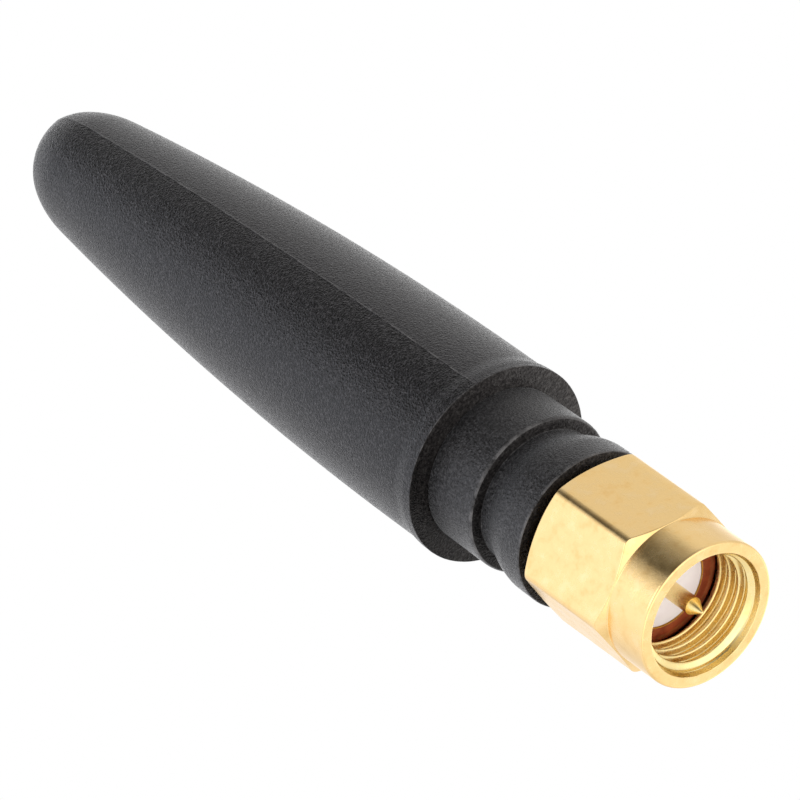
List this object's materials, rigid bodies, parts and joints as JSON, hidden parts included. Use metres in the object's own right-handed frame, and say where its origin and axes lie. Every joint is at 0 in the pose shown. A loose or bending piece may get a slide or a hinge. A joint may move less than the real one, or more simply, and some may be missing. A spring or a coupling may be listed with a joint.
{
  "type": "stubby screw-on antenna",
  "caption": "Short tapered rubber antenna on a gold plated coaxial plug with a captive hexagon coupling nut and a centre pin.",
  "frame": {"origin": "centre of the coupling nut's front ring, at the mouth of the plug, where the antenna stands", "axes": "+Z along the axis from the plug's mouth to the radome's tip; the radome's mould seams lie at +Y and -Y"},
  "size_m": [0.0108, 0.0108, 0.0543],
  "materials": {
    "gold_plate": "satin gold plating over turned brass",
    "plain_brass": "plain turned brass",
    "spring_bronze": "drawn spring wire",
    "red_seal": "soft silicone rubber",
    "white_insulator": "waxy white fluoropolymer",
    "shrink_film": "thin matt film",
    "black_neck": "fine matt moulded grain",
    "black_rubber": "fine matt moulded grain"
  },
  "bodies": {
    "antenna": {"radome": "black_rubber", "neck_bush": "black_neck", "shrink_tube": "shrink_film", "radiator_coil": "spring_bronze", "feed_ferrule": "plain_brass", "centre_pin": "gold_plate", "insulator": "white_insulator", "plug_body": "gold_plate", "gasket": "red_seal", "snap_ring": "spring_bronze"},
    "nut": {"coupling_nut": "gold_plate"}
  },
  "joints": [
    {"name": "nut_spin", "type": "hinge", "parent": "antenna", "child": "nut", "pos_m": [0, 0, 0.0045], "axis": [0, 0, 1], "continuous": true}
  ]
}
